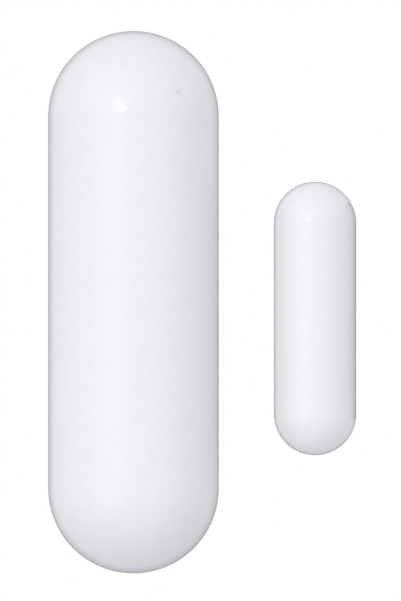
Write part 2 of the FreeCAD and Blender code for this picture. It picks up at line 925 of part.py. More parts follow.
def tamper_switch_body():
    """A small box on the board with a chamber for the plunger's collar and its spring."""
    half = tamper_body_size / 2
    top = board_front + tamper_body_height
    body = block(-half, half, tamper_y - half, tamper_y + half, board_front, top)
    body = body.makeFillet(tamper_body_corner, upright_edges(body))
    body = body.makeChamfer(chip_chamfer, edges_at(body, top))
    bore = tamper_collar_radius + tamper_slide_gap
    return body.cut(post(0, tamper_y, board_front - past, chamber_top, bore))


def tamper_plunger():
    """A pin through the floor, pressed flush by the wall, with a collar under its spring."""
    pin = post(0, tamper_y, 0, collar_rear, tamper_pin_radius)
    pin = pin.makeChamfer(tamper_tip_chamfer, edges_at(pin, 0))
    collar = post(0, tamper_y, collar_rear, collar_front, tamper_collar_radius)
    stub = post(0, tamper_y, collar_front, collar_front + tamper_stub_height, tamper_stub_radius)
    return pin.fuse([collar, stub]).removeSplitter()


def tamper_spring():
    """A coil between the collar and the chamber's roof."""
    low = collar_front + tamper_spring_wire + tamper_spring_gap
    high = chamber_top - tamper_spring_wire - tamper_spring_gap
    radius = tamper_collar_radius - tamper_spring_wire - tamper_slide_gap
    pitch = (high - low) / tamper_spring_turns
    coil = wire_coil(radius, tamper_spring_wire, pitch, tamper_spring_turns)
    coil.translate(vec(0, tamper_y, low))
    return coil


def magnet_base():
    base = tray(
        magnet_radius,
        magnet_run,
        magnet_wall,
        magnet_floor,
        magnet_rim_height,
        magnet_tongue_height,
        magnet_tongue_thickness,
    )
    screw_seat = magnet_floor_top + magnet_boss_height
    added = snap_ridges(
        magnet_inner_radius + magnet_tongue_thickness,
        magnet_snap_reach,
        magnet_snap_half_height,
        magnet_snap_offset,
        magnet_snap_length,
        magnet_snap_depth,
    )
    for y in (-magnet_screw_y, magnet_screw_y):
        added.append(post(0, y, magnet_floor_top, screw_seat, magnet_boss_radius))
    half_bar = bar_width / 2
    for y in (-cradle_offset, cradle_offset):
        y0 = y - cradle_length / 2
        y1 = y + cradle_length / 2
        added.append(block(-half_bar, half_bar, y0, y1, magnet_floor_top, bar_rear))
        for side in (-1, 1):
            near = half_bar + cradle_gap
            far = near + cradle_thickness
            x0 = min(side * near, side * far)
            cheek = block(x0, x0 + cradle_thickness, y0, y1, magnet_floor_top, bar_rear + cradle_height)
            added.append(cheek)
    stop = bar_length / 2 + cradle_gap
    stop_top = bar_rear + cradle_height
    for y0 in (-stop - cradle_thickness, stop):
        added.append(block(-half_bar, half_bar, y0, y0 + cradle_thickness, magnet_floor_top, stop_top))
    base = base.fuse(added).removeSplitter()
    removed = [
        pill(
            magnet_pad_width / 2 + pad_side_gap,
            (magnet_pad_length - magnet_pad_width) / 2,
            base_rear - past,
            pad_thickness,
        ),
        block(
            -half_bar - cradle_gap,
            half_bar + cradle_gap,
            -stop,
            stop,
            bar_rear,
            bar_front,
        ),
    ]
    for y in (-magnet_screw_y, magnet_screw_y):
        removed.append(
            countersunk_hole(y, magnet_screw_radius, magnet_screw_head_radius, base_rear, screw_seat)
        )
    return base.cut(removed)


def magnet_front_cover():
    tongue_outer = magnet_inner_radius + magnet_tongue_thickness
    cover = cover_shell(
        magnet_radius,
        magnet_run,
        magnet_wall,
        magnet_cover_rim,
        magnet_dome_depth,
        tongue_outer,
        magnet_tongue_top + tongue_end_gap,
    )
    grooves = snap_ridges(
        tongue_outer + tongue_gap,
        magnet_snap_reach,
        magnet_snap_half_height + tongue_gap,
        magnet_snap_offset,
        magnet_snap_length + 2 * tongue_gap,
        magnet_snap_depth,
    )
    mark = alignment_mark(-magnet_radius, 0, magnet_cover_rim - past, magnet_dome_depth)
    return cover.cut(grooves + [mark])


def bar_magnet():
    half_width = bar_width / 2
    half_bar = bar_length / 2
    bar = block(-half_width, half_width, -half_bar, half_bar, bar_rear, bar_front)
    return bar.makeChamfer(bar_chamfer, bar.Edges)


def stand(shape):
    """Turn a piece drawn on its back upright, with its front facing -Y."""
    placed = shape.copy()
    placed.rotate(vec(0, 0, 0), vec(1, 0, 0), 90)
    return placed


def beside(shape):
    """Move a piece of the magnet unit to its place beside the sensor."""
    placed = shape.copy()
    placed.translate(vec(magnet_x, -magnet_drop, 0))
    return placed


pieces = {
    "sensor_front_cover": sensor_front_cover(),
    "sensor_base": sensor_base(),
    "sensor_adhesive_pad": pad(sensor_pad_length, sensor_pad_width),
    "circuit_board": circuit_board(),
    "board_screws": board_screws(),
    "reed_switch_glass": reed_switch_glass(),
    "reed_switch_blades": reed_switch_blades(),
    "battery": battery(),
    "battery_contact_positive": battery_contact_positive(),
    "battery_contact_negative": battery_contact_negative(),
    "helical_antenna": helical_antenna(),
    "radio_chip": radio_chip(),
    "microcontroller": microcontroller(),
    "crystal": crystal(),
    "bulk_capacitor": bulk_capacitor(),
    "chip_capacitors": chip_row(antenna_x + chip_column_offset, capacitor_height),
    "chip_resistors": chip_row(antenna_x - chip_column_offset, resistor_height),
    "status_led": status_led(),
    "light_guide": light_guide(),
    "tamper_switch_body": tamper_switch_body(),
    "tamper_plunger": tamper_plunger(),
    "tamper_spring": tamper_spring(),
    "magnet_front_cover": beside(magnet_front_cover()),
    "magnet_base": beside(magnet_base()),
    "magnet_adhesive_pad": beside(pad(magnet_pad_length, magnet_pad_width)),
    "bar_magnet": beside(bar_magnet()),
}

os.makedirs("parts", exist_ok=True)
for name, piece in pieces.items():
    stand(piece).exportStep(f"parts/{name}.step")
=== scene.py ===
import json
import math

import bmesh
import bpy
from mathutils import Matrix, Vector, noise as smooth


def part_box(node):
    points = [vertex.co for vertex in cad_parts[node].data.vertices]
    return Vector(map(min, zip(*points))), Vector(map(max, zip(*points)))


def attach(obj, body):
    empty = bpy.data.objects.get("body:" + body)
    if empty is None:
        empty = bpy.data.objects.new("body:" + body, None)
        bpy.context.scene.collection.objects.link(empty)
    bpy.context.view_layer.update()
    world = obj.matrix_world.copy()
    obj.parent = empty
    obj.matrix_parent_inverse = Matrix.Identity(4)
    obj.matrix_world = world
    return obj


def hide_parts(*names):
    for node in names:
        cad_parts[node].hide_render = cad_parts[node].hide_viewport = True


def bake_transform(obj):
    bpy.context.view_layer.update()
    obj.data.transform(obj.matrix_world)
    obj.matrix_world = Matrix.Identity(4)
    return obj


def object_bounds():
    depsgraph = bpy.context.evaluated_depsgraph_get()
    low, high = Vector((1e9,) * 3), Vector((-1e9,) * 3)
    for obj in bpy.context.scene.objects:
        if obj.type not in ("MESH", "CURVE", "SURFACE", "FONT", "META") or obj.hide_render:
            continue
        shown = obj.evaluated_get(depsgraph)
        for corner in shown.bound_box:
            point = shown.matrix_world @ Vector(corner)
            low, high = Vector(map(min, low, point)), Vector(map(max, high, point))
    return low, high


# Wireless door contact: a pill-shaped sensor and a smaller magnet unit, seen straight from the front.
# Everything is in metres, in the frame of the solids: X across, Z up, -Y towards the viewer.

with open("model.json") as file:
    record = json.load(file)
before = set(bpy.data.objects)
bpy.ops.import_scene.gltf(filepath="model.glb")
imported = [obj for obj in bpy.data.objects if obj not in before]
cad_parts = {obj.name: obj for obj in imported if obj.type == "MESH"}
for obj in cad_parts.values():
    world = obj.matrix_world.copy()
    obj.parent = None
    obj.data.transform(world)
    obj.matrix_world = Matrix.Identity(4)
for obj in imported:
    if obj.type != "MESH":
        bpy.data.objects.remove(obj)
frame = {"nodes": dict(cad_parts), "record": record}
cad_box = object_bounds()

MM = 0.001
WHITE = (1, 1, 1)

# Sockets of a colour mix by number, because several of them share a name
MIX_FACTOR = 0
MIX_FIRST = 6
MIX_SECOND = 7
MIX_RESULT = 2

# Camera: a long lens straight in front of both units
VIEW_CENTRE = Vector((9.43, -8.5, 0.24)) * MM
VIEW_HEIGHT = 84.55 * MM
CAMERA_DISTANCE = 1500 * MM
CAMERA_NEAR = 1 * MM
CAMERA_FAR = 2 * CAMERA_DISTANCE
CAMERA_SENSOR_WIDTH = 36.0

# Studio light, where a radiance of 1 renders white
# A turn is in degrees to the left of the camera, and a rise in degrees up
DOME_LEVEL = 0.43
DOME_TOP = 0.13
DOME_RIGHT = 0.28
DOME_BACK = 0.35
DOME_FALLOFF = 1.0
GLOW_RADIANCE = 2.02
GLOW_TURN = 20.0
GLOW_RISE = 18.0
GLOW_FALLOFF = 7.0
BACKDROP_LEVEL = 1.0
PANEL_RADIANCE = 0.4
PANEL_TURN = 35.5
PANEL_RISE = 0.0
PANEL_DISTANCE = 700 * MM
PANEL_WIDTH = 445 * MM
PANEL_HEIGHT = 800 * MM
LAMP_RADIANCE = 7.0
LAMP_TURN = 15.2
LAMP_RISE = 10.6
LAMP_DISTANCE = 1500 * MM
LAMP_DIAMETER = 166 * MM

# Soft edge that the lamp has in reflections
HALO_RADIANCE = 1.4
HALO_TURN = 18.5
HALO_RISE = 15.5
HALO_FALLOFF = 42.0

# Surroundings behind the units, which only their glancing edges reflect
SURROUND_DISTANCE = 500 * MM
SURROUND_RADIUS = 520 * MM
SURROUND_DARK = 0.2
SURROUND_PALE = 0.8
SURROUND_DARK_TO = 0.3
SURROUND_COOL = (0.74, 0.85, 1.0)
SURROUND_COOL_FROM = -230 * MM
SURROUND_COOL_TO = -360 * MM

# Dark card close to the right of the magnet unit, which shows in the unit's right rim
# It is as pale as the backdrop at its front edge and darkens towards the back
CARD_PLACE = 35 * MM
CARD_FRONT = -8 * MM
CARD_DARK_FROM = -1 * MM
CARD_BACK = 10 * MM
CARD_LOW = -17 * MM
CARD_HIGH = 17 * MM
CARD_DARK = 0.0

# Floor under the units
FLOOR_DROP = 27 * MM
FLOOR_RADIUS = 160 * MM
FLOOR_PALE = 0.8
FLOOR_LIFT = 0.4

# Sides of the surround and of the floor, which are round
DISC_SIDES = 96

# Most of a noise lies between these
NOISE_LOW = 0.3
NOISE_HIGH = 0.7

# The gloss of a grained surface changes in patches of this many grains
GLOSS_PATCH = 8

# Share by which the roughness of a grained surface and of a clear one changes
GRAINED_SWING = 0.1
CLEAR_SWING = 0.4

# White of the covers, and a faint speck in the sensor's
COVER_LIGHT = (0.841, 0.849, 0.885)
COVER_DARK = (0.819, 0.828, 0.865)
SPECK_COLOUR = (0.713, 0.722, 0.742)
SPECK_PLACE = (6.33 * MM, 0, 29.36 * MM)
SPECK_LENGTH = 1.5 * MM
SPECK_WIDTH = 0.85 * MM
SPECK_LEAN = 34.0

# Metal left bare inside the rim of the cell's sleeve, and tinned ends of the row of chips
SLEEVE_RIM = 1.2 * MM
CHIP_LENGTH = 1.6 * MM
CHIP_COUNT = 4
CHIP_END = 0.3 * MM

# Points of a cover that are nearer than this are one
SAME_PLACE = 0.0005 * MM

# Foam pads, each with a thin liner over its adhesive, which is slit across so that it peels
PAD_STEP = 0.12 * MM
PAD_ROWS = 12
PAD_EDGE_INSET = 0.12 * MM
PAD_EDGE_POWER = 3
PAD_CELL = 0.16 * MM
PAD_CELL_DEPTH = 0.05 * MM
LINER_THICKNESS = 0.09 * MM
LINER_INSET = 0.16 * MM
LINER_SLIT = 0.2 * MM
LINER_WAVE = 1.2 * MM

# Spring of the tamper plunger, on the plunger's axis
SPRING_WIRE_RADIUS = 0.15 * MM
SPRING_TURNS = 3.4
SPRING_CLOSED = 0.4
SPRING_STEPS = 220
WIRE_SIDES = 14


# Helpers


def node(tree, kind, inputs=None, **settings):
    """Adds a node; each input is a value or the output of another node."""
    made = tree.nodes.new(kind)
    for name, value in settings.items():
        setattr(made, name, value)
    for name, value in (inputs or {}).items():
        feed(tree, made.inputs[name], value)
    return made


def feed(tree, socket, value):
    if isinstance(value, bpy.types.NodeSocket):
        tree.links.new(value, socket)
    else:
        socket.default_value = value


def math_node(tree, operation, first, second):
    return node(tree, "ShaderNodeMath", {0: first, 1: second}, operation=operation).outputs[0]


def spread(tree, value, low, high, start=NOISE_LOW, end=NOISE_HIGH):
    """Maps start..end, by default the middle of a noise, to low..high."""
    return node(
        tree,
        "ShaderNodeMapRange",
        {"Value": value, "From Min": start, "From Max": end, "To Min": low, "To Max": high},
    ).outputs["Result"]


def mix_colour(tree, factor, first, second):
    """The first colour where the factor is 0 and the second where it is 1."""
    inputs = {MIX_FACTOR: factor, MIX_FIRST: first, MIX_SECOND: second}
    return node(tree, "ShaderNodeMix", inputs, data_type="RGBA").outputs[MIX_RESULT]


def rgb(colour):
    """The colour as a shader's input, which holds an alpha too."""
    return (*colour, 1.0)


def aim(obj, place, target):
    obj.location = place
    obj.rotation_euler = (Vector(target) - Vector(place)).to_track_quat("-Z", "Y").to_euler()


def link(obj):
    bpy.context.scene.collection.objects.link(obj)
    return obj


def new_tree(name):
    material = bpy.data.materials.new(name)
    material.use_nodes = True
    material.node_tree.nodes.clear()
    return material, material.node_tree


def make_piece(name, shape, material):
    """A new object from a bmesh, which it frees."""
    mesh = bpy.data.meshes.new(name)
    shape.to_mesh(mesh)
    shape.free()
    mesh.materials.append(material)
    return link(bpy.data.objects.new(name, mesh))


# Stage


def make_camera():
    data = bpy.data.cameras.new("camera")
    data.sensor_width = CAMERA_SENSOR_WIDTH
    data.lens = CAMERA_SENSOR_WIDTH * CAMERA_DISTANCE / VIEW_HEIGHT
    data.clip_start = CAMERA_NEAR
    data.clip_end = CAMERA_FAR
    camera = link(bpy.data.objects.new("camera", data))
    aim(camera, VIEW_CENTRE - Vector((0, CAMERA_DISTANCE, 0)), VIEW_CENTRE)
    bpy.context.scene.camera = camera


def towards(turn, rise):
    """The direction from the units with this turn and rise."""
    turn = math.radians(turn)
    rise = math.radians(rise)
    level = math.cos(rise)
    return Vector((-math.sin(turn) * level, -math.cos(turn) * level, math.sin(rise)))


def make_area_light(name, turn, rise, distance, width, height, radiance):
    """A lamp that faces the units; round if it has no height."""
    data = bpy.data.lights.new(name, "AREA")
    data.shape = "RECTANGLE" if height else "DISK"
    data.size = width
    data.size_y = height or width
    area = width * height if height else math.pi * width**2 / 4
    data.energy = radiance * area * math.pi
    light = link(bpy.data.objects.new(name, data))
    light.visible_camera = False
    aim(light, VIEW_CENTRE + towards(turn, rise) * distance, VIEW_CENTRE)


def make_lights():
    make_area_light("lamp", LAMP_TURN, LAMP_RISE, LAMP_DISTANCE, LAMP_DIAMETER, 0, LAMP_RADIANCE)
    make_area_light(
        "panel", PANEL_TURN, PANEL_RISE, PANEL_DISTANCE, PANEL_WIDTH, PANEL_HEIGHT, PANEL_RADIANCE
    )


def make_disc(name, radius, material):
    shape = bmesh.new()
    bmesh.ops.create_circle(shape, cap_ends=True, segments=DISC_SIDES, radius=radius)
    disc = make_piece(name, shape, material)
    return disc


def give_off(tree, colour, level):
    """A surface that gives off this light and reflects none."""
    light = node(tree, "ShaderNodeEmission", {"Color": colour, "Strength": level})
    node(tree, "ShaderNodeOutputMaterial", {"Surface": light.outputs[0]})


def show_in_reflections_alone(piece):
    piece.visible_camera = False
    piece.visible_diffuse = False
    piece.visible_transmission = False
    piece.visible_volume_scatter = False
    piece.visible_shadow = False


def make_surround():
    """A grey card far behind the units, darkest in its middle, that shows in reflections alone.

    It is cooler in its lower part.
    """
    material, tree = new_tree("surround")
    place = node(tree, "ShaderNodeTexCoord").outputs["Object"]
    height = node(tree, "ShaderNodeSeparateXYZ", {0: place}).outputs["Y"]
    cool = spread(tree, height, 0.0, 1.0, SURROUND_COOL_FROM, SURROUND_COOL_TO)
    tint = mix_colour(tree, cool, rgb(WHITE), rgb(SURROUND_COOL))
    reach = node(tree, "ShaderNodeVectorMath", {0: place}, operation="LENGTH").outputs["Value"]
    dark_to = SURROUND_RADIUS * SURROUND_DARK_TO
    level = spread(tree, reach, SURROUND_DARK, SURROUND_PALE, dark_to, SURROUND_RADIUS)
    give_off(tree, tint, level)
    surround = make_disc("surround", SURROUND_RADIUS, material)
    surround.location = VIEW_CENTRE + Vector((0, SURROUND_DISTANCE, 0))
    surround.rotation_euler = (math.pi / 2, 0, 0)
    show_in_reflections_alone(surround)


def make_card():
    """A dark card beside the magnet unit that shows in reflections alone."""
    material, tree = new_tree("card")
    place = node(tree, "ShaderNodeTexCoord").outputs["Object"]
    depth = node(tree, "ShaderNodeSeparateXYZ", {0: place}).outputs["Y"]
    level = spread(tree, depth, BACKDROP_LEVEL, CARD_DARK, CARD_FRONT, CARD_DARK_FROM)
    give_off(tree, rgb(WHITE), level)
    corners = (
        (CARD_FRONT, CARD_LOW),
        (CARD_BACK, CARD_LOW),
        (CARD_BACK, CARD_HIGH),
        (CARD_FRONT, CARD_HIGH),
    )
    shape = bmesh.new()
    shape.faces.new([shape.verts.new((CARD_PLACE, y, z)) for y, z in corners])
    card = make_piece("card", shape, material)
    show_in_reflections_alone(card)


def seen_directly(tree):
    """1 for what the camera sees, by itself or in a reflection or through glass."""
    path = node(tree, "ShaderNodeLightPath").outputs
    either = math_node(tree, "MAXIMUM", path["Is Camera Ray"], path["Is Glossy Ray"])
    return math_node(tree, "MAXIMUM", either, path["Is Transmission Ray"])


def glow(tree, direction, centre, falloff, radiance):
    """Light of the dome that is strongest at its centre and fades to none a quarter turn away."""
    slope = node(tree, "ShaderNodeVectorMath", {0: direction, 1: centre}, operation="DOT_PRODUCT")
    shown = math_node(tree, "MAXIMUM", slope.outputs["Value"], 0.0)
    return math_node(tree, "MULTIPLY", math_node(tree, "POWER", shown, falloff), radiance)


def make_world():
    """A soft white dome, brighter from the front left, top, right and rear, behind a white backdrop.

    The backdrop is brighter round the lamp, which gives its reflections a soft edge.
    """
    world = bpy.data.worlds.new("studio")
    bpy.context.scene.world = world
    world.use_nodes = True
    tree = world.node_tree
    tree.nodes.clear()
    direction = node(tree, "ShaderNodeTexCoord").outputs["Generated"]
    level = DOME_LEVEL
    for centre, falloff, radiance in (
        ((0, 0, 1), DOME_FALLOFF, DOME_TOP),
        ((1, 0, 0), DOME_FALLOFF, DOME_RIGHT),
        ((0, 1, 0), DOME_FALLOFF, DOME_BACK),
        (towards(GLOW_TURN, GLOW_RISE), GLOW_FALLOFF, GLOW_RADIANCE),
    ):
        level = math_node(tree, "ADD", glow(tree, direction, centre, falloff, radiance), level)
    dome = node(tree, "ShaderNodeBackground", {"Color": rgb(WHITE), "Strength": level})
    halo = glow(tree, direction, towards(HALO_TURN, HALO_RISE), HALO_FALLOFF, HALO_RADIANCE)
    bright = math_node(tree, "ADD", halo, BACKDROP_LEVEL)
    backdrop = node(tree, "ShaderNodeBackground", {"Color": rgb(WHITE), "Strength": bright})
    both = {0: seen_directly(tree), 1: dome.outputs[0], 2: backdrop.outputs[0]}
    mix = node(tree, "ShaderNodeMixShader", both)
    node(tree, "ShaderNodeOutputWorld", {"Surface": mix.outputs[0]})


def make_floor():
    """A pale floor that the camera sees a little brighter than it is lit."""
    material, tree = new_tree("floor")
    pale = node(tree, "ShaderNodeBsdfDiffuse", {"Color": rgb([FLOOR_PALE] * 3)})
    shown = math_node(tree, "MULTIPLY", seen_directly(tree), FLOOR_LIFT)
    lift = node(tree, "ShaderNodeEmission", {"Color": rgb(WHITE), "Strength": shown})
    both = node(tree, "ShaderNodeAddShader", {0: pale.outputs[0], 1: lift.outputs[0]})
    node(tree, "ShaderNodeOutputMaterial", {"Surface": both.outputs[0]})
    floor = make_disc("floor", FLOOR_RADIUS, material)
    floor.location = (VIEW_CENTRE.x, 0, cad_box[0].z - FLOOR_DROP)
    floor.visible_glossy = False


# Materials


def object_place(tree, stretch=(1, 1, 1)):
    place = node(tree, "ShaderNodeTexCoord").outputs["Object"]
    return node(tree, "ShaderNodeVectorMath", {0: place, 1: stretch}, operation="MULTIPLY").outputs[0]


def noise(tree, size, detail=3.0, roughness=0.5, stretch=(1, 1, 1)):
    """Smooth noise around 0.5, with features about this large; a stretch below 1 draws them out."""
    made = node(
        tree,
        "ShaderNodeTexNoise",
        {
            "Vector": object_place(tree, stretch),
            "Scale": 1 / size,
            "Detail": detail,
            "Roughness": roughness,
        },
    )
    return made.outputs["Fac"]


def cells(tree, size):
    """Distance from the centres of round cells that are about this large."""
    made = node(tree, "ShaderNodeTexVoronoi", {"Vector": object_place(tree), "Scale": 1 / size})
    return made.outputs["Distance"]


def drift(tree, value, colour, shade):
    """From the colour to its shade over the middle of a noise."""
    return mix_colour(tree, spread(tree, value, 0.0, 1.0), rgb(colour), rgb(shade))


def finish(tree, colour, roughness, height, depth, fixed=None):
    """The surface shader with its output; the fixed values go to the shader's own inputs."""
    bump = node(tree, "ShaderNodeBump", {"Height": height, "Strength": 1.0, "Distance": depth})
    inputs = {"Base Color": colour, "Roughness": roughness, **(fixed or {})}
    inputs["Normal"] = bump.outputs["Normal"]
    shader = node(tree, "ShaderNodeBsdfPrincipled", inputs)
    node(tree, "ShaderNodeOutputMaterial", {"Surface": shader.outputs[0]})


def grained(name, colour, shade, roughness, grain, depth, patch=12 * MM, stretch=(1, 1, 1), **fixed):
    """A surface with a slow drift between two colours and a skin of fine grain."""
    material, tree = new_tree(name)
    tint = drift(tree, noise(tree, patch), colour, shade)
    gloss = noise(tree, GLOSS_PATCH * grain, stretch=stretch)
    rough = spread(tree, gloss, roughness * (1 - GRAINED_SWING), roughness * (1 + GRAINED_SWING))
    inputs = {key.replace("_", " ").title(): value for key, value in fixed.items()}
    finish(tree, tint, rough, noise(tree, grain, stretch=stretch), depth, inputs)
    return material


def clear(name, colour, shade, roughness, refraction):
    """Glass or acrylic with a faint waviness."""
    material, tree = new_tree(name)
    tint = drift(tree, noise(tree, size=3 * MM), colour, shade)
    gloss = noise(tree, size=0.8 * MM)
    rough = spread(tree, gloss, roughness * (1 - CLEAR_SWING), roughness * (1 + CLEAR_SWING))
    fixed = {"Transmission Weight": 1.0, "IOR": refraction}
    finish(tree, tint, rough, height=noise(tree, size=1.5 * MM), depth=0.01 * MM, fixed=fixed)
    return material


def cover_plastic():
    """The covers' glossy white, with one faint grey speck under the upper dome of the sensor."""
    material, tree = new_tree("cover_plastic")
    tint = drift(tree, noise(tree, size=1.4 * MM, roughness=0.6), COVER_LIGHT, COVER_DARK)
    along = node(
        tree,
        "ShaderNodeMapping",
        {
            "Vector": object_place(tree, (1, 0, 1)),
            "Location": SPECK_PLACE,
            "Rotation": (0, math.radians(SPECK_LEAN), 0),
            "Scale": (SPECK_LENGTH / 2, 1, SPECK_WIDTH / 2),
        },
        vector_type="TEXTURE",
    )
    away = node(tree, "ShaderNodeVectorMath", {0: along.outputs[0]}, operation="LENGTH")
    speck = spread(tree, away.outputs["Value"], 1.0, 0.0, start=0.0, end=1.0)
    marked = mix_colour(tree, speck, tint, rgb(SPECK_COLOUR))
    rough = spread(tree, noise(tree, size=1.5 * MM), low=0.14, high=0.17)
    finish(tree, marked, rough, height=noise(tree, size=0.35 * MM), depth=0.0008 * MM)
    return material


def foam():
    """Closed-cell foam: round pits of several sizes, paler on their rims, with painted shade
    darkening the pits.
    """
    material, tree = new_tree("foam")
    pits = math_node(tree, "ADD", cells(tree, size=0.11 * MM), cells(tree, size=0.27 * MM))
    dirt = noise(tree, size=3 * MM)
    pale = drift(tree, dirt, colour=(0.74, 0.74, 0.73), shade=(0.68, 0.68, 0.68))
    # Painted shade: the pits, which the bump sets lowest, are coloured darker than their rims
    pit_shade = rgb((0.60, 0.60, 0.60))
    rims = spread(tree, pits, low=0.0, high=1.0, start=0.4, end=1.3)
    tint = mix_colour(tree, rims, pit_shade, pale)
    rough = spread(tree, dirt, low=0.82, high=0.92)
    fixed = {"Subsurface Weight": 0.15, "Subsurface Scale": 0.4 * MM}
    finish(tree, tint, rough, height=pits, depth=0.03 * MM, fixed=fixed)
    return material


def liner():
    """Waxed release paper: faint long fibres in a satin skin."""
    material, tree = new_tree("liner")
    fibres = noise(tree, size=0.5 * MM, detail=5.0, roughness=0.6, stretch=(1, 1, 0.25))
    tint = drift(tree, fibres, colour=(0.78, 0.765, 0.71), shade=(0.71, 0.695, 0.635))
    rough = spread(tree, noise(tree, size=1.6 * MM), low=0.36, high=0.44)
    finish(tree, tint, rough, height=fibres, depth=0.004 * MM)
    return material


def board_laminate():
    """Green solder mask over glass cloth, whose weave shows faintly."""
    material, tree = new_tree("board_laminate")
    # The threads repeat about every millimetre, a third of this size
    size = 3.2 * MM
    cloth = {"Vector": object_place(tree), "Scale": 1 / size, "Distortion": 0.6}
    across = node(tree, "ShaderNodeTexWave", cloth, bands_direction="X").outputs["Fac"]
    along = node(tree, "ShaderNodeTexWave", cloth, bands_direction="Z").outputs["Fac"]
    weave = math_node(tree, "MULTIPLY", across, along)
    gap = rgb((0.014, 0.115, 0.050))
    thread = rgb((0.019, 0.136, 0.056))
    tint = mix_colour(tree, weave, gap, thread)
    rough = spread(tree, noise(tree, size=1.2 * MM), low=0.24, high=0.32)
    fixed = {"Coat Weight": 0.3, "Coat Roughness": 0.15}
    finish(tree, tint, rough, height=weave, depth=0.006 * MM, fixed=fixed)
    return material


def cell_sleeve():
    """Blue shrink sleeve, with the cell's metal bare at both ends."""
    material, tree = new_tree("cell_sleeve")
    low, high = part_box("battery")
    axis = ((low.x + high.x) / 2, (low.y + high.y) / 2, 0)
    flat = {0: object_place(tree, (1, 1, 0)), 1: axis}
    away = node(tree, "ShaderNodeVectorMath", flat, operation="DISTANCE").outputs["Value"]
    bare = math_node(tree, "LESS_THAN", away, (high.x - low.x) / 2 - SLEEVE_RIM)
    patches = noise(tree, size=6 * MM)
    sleeve = drift(tree, patches, colour=(0.028, 0.075, 0.26), shade=(0.02, 0.058, 0.21))
    metal = drift(tree, patches, colour=(0.66, 0.655, 0.64), shade=(0.58, 0.575, 0.565))
    tint = mix_colour(tree, bare, sleeve, metal)
    skin = noise(tree, size=0.7 * MM, stretch=(1, 1, 0.4))
    rough = spread(tree, skin, low=0.3, high=0.38)
    finish(tree, tint, rough, height=skin, depth=0.012 * MM, fixed={"Metallic": bare})
    return material


def chip_ceramic():
    """Fired ceramic of a row of chips, with tin on the two ends of each."""
    material, tree = new_tree("chip_ceramic")
    low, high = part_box("chip_capacitors")
    pitch = (high.z - low.z - CHIP_LENGTH) / (CHIP_COUNT - 1)
    height = node(tree, "ShaderNodeSeparateXYZ", {0: object_place(tree)}).outputs["Z"]
    from_first = math_node(tree, "SUBTRACT", height, low.z + CHIP_LENGTH / 2)
    from_middle = math_node(tree, "PINGPONG", from_first, pitch / 2)
    tin = math_node(tree, "GREATER_THAN", from_middle, CHIP_LENGTH / 2 - CHIP_END)
    patches = noise(tree, size=1 * MM)
    ceramic = drift(tree, patches, colour=(0.46, 0.34, 0.24), shade=(0.38, 0.29, 0.21))
    plated = drift(tree, patches, colour=(0.72, 0.71, 0.69), shade=(0.62, 0.61, 0.595))
    tint = mix_colour(tree, tin, ceramic, plated)
    rough = spread(tree, tin, low=0.5, high=0.34, start=0.0, end=1.0)
    grain = noise(tree, size=0.06 * MM)
    finish(tree, tint, rough, height=grain, depth=0.004 * MM, fixed={"Metallic": tin})
    return material


MATERIALS = {
    "cover_plastic": cover_plastic(),
    "base_plastic": grained(
        "base_plastic",
        colour=(0.80, 0.81, 0.845),
        shade=(0.775, 0.785, 0.82),
        roughness=0.46,
        grain=0.16 * MM,
        depth=0.012 * MM,
    ),
    "foam": foam(),
    "board_laminate": board_laminate(),
    "steel": grained(
        "steel",
        colour=(0.60, 0.60, 0.61),
        shade=(0.52, 0.52, 0.535),
        roughness=0.3,
        grain=0.1 * MM,
        depth=0.002 * MM,
        patch=3 * MM,
        metallic=1.0,
    ),
    "reed_glass": clear(
        "reed_glass",
        colour=(0.90, 0.95, 0.92),
        shade=(0.86, 0.93, 0.89),
        roughness=0.03,
        refraction=1.5,
    ),
    "cell_sleeve": cell_sleeve(),
    "contact_metal": grained(
        "contact_metal",
        colour=(0.73, 0.70, 0.65),
        shade=(0.66, 0.63, 0.585),
        roughness=0.24,
        grain=0.12 * MM,
        depth=0.0015 * MM,
        patch=4 * MM,
        stretch=(1, 1, 0.1),
        metallic=1.0,
    ),
    "antenna_wire": grained(
        "antenna_wire",
        colour=(0.80, 0.47, 0.30),
        shade=(0.70, 0.37, 0.22),
        roughness=0.22,
        grain=0.15 * MM,
        depth=0.001 * MM,
        patch=2.5 * MM,
        metallic=1.0,
    ),
    "chip_resin": grained(
        "chip_resin",
        colour=(0.022, 0.022, 0.024),
        shade=(0.03, 0.03, 0.032),
        roughness=0.52,
        grain=0.06 * MM,
        depth=0.006 * MM,
        patch=2 * MM,
    ),
    "capacitor_resin": grained(
        "capacitor_resin",
        colour=(0.66, 0.37, 0.07),
        shade=(0.58, 0.31, 0.05),
        roughness=0.42,
        grain=0.1 * MM,
        depth=0.004 * MM,
        patch=2 * MM,
    ),
    "chip_ceramic": chip_ceramic(),
    "led_resin": grained(
        "led_resin",
        colour=(0.83, 0.80, 0.60),
        shade=(0.78, 0.74, 0.50),
        roughness=0.2,
        grain=0.2 * MM,
        depth=0.002 * MM,
        patch=1 * MM,
        subsurface_weight=0.3,
        subsurface_scale=0.3 * MM,
    ),
    "clear_acrylic": clear(
        "clear_acrylic",
        colour=(0.96, 0.97, 0.98),
        shade=(0.92, 0.94, 0.96),
        roughness=0.06,
        refraction=1.49,
    ),
    "plunger_plastic": grained(
        "plunger_plastic",
        colour=(0.70, 0.71, 0.70),
        shade=(0.63, 0.64, 0.635),
        roughness=0.36,
        grain=0.12 * MM,
        depth=0.003 * MM,
        patch=2 * MM,
    ),
    "magnet_nickel": grained(
        "magnet_nickel",
        colour=(0.66, 0.63, 0.58),
        shade=(0.58, 0.555, 0.51),
        roughness=0.2,
        grain=0.25 * MM,
        depth=0.002 * MM,
        patch=5 * MM,
        metallic=1.0,
    ),
}
LINER = liner()


# Covers


